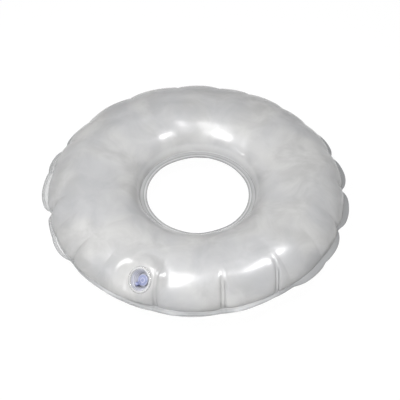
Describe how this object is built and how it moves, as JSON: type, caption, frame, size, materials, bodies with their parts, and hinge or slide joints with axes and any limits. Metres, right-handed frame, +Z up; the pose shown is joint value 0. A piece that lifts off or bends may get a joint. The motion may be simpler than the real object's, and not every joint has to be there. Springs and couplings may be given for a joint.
{
  "type": "inflatable elizabethan collar",
  "caption": "Ring-shaped inflatable pet recovery collar of clear vinyl film, with welded inner and scalloped outer seams and a push-in air valve with tethered plug.",
  "frame": {"origin": "on the floor, under the middle of the neck opening", "axes": "+Z up along the neck opening's axis; -Y is the front, where the valve is, a little towards -X"},
  "size_m": [0.3491, 0.3483, 0.066],
  "materials": {
    "vinyl_film": "frosted clear vinyl film, satin",
    "moulded_vinyl": "clear soft vinyl moulding, glossy",
    "tinted_vinyl": "clear soft vinyl moulding with a blue-violet tint, glossy"
  },
  "bodies": {
    "ring": {"upper_sheet": "vinyl_film", "lower_sheet": "vinyl_film", "valve_flange": "moulded_vinyl", "valve_bellows": "moulded_vinyl"},
    "stem": {"valve_stem": "moulded_vinyl", "check_seat": "moulded_vinyl", "plug_tether": "tinted_vinyl"},
    "plug": {"valve_plug": "tinted_vinyl"},
    "flap": {"check_flap": "moulded_vinyl"}
  },
  "joints": [
    {"name": "valve_pop", "type": "slide", "parent": "ring", "child": "stem", "axis": [-0.5264, -0.5013, 0.6867], "range_m": [0, 0.014], "deforming": ["valve_bellows"]},
    {"name": "plug_pull", "type": "slide", "parent": "stem", "child": "plug", "axis": [-0.5264, -0.5013, 0.6867], "range_m": [0, 0.009], "deforming": ["plug_tether"]},
    {"name": "flap_open", "type": "hinge", "parent": "stem", "child": "flap", "pos_m": [-0.04925, -0.13609, 0.04693], "axis": [0.1146, -0.8421, -0.5269], "range_deg": [0, 50], "stiffness_Nm_per_rad": 0.0002, "springref_deg": -5.73}
  ]
}
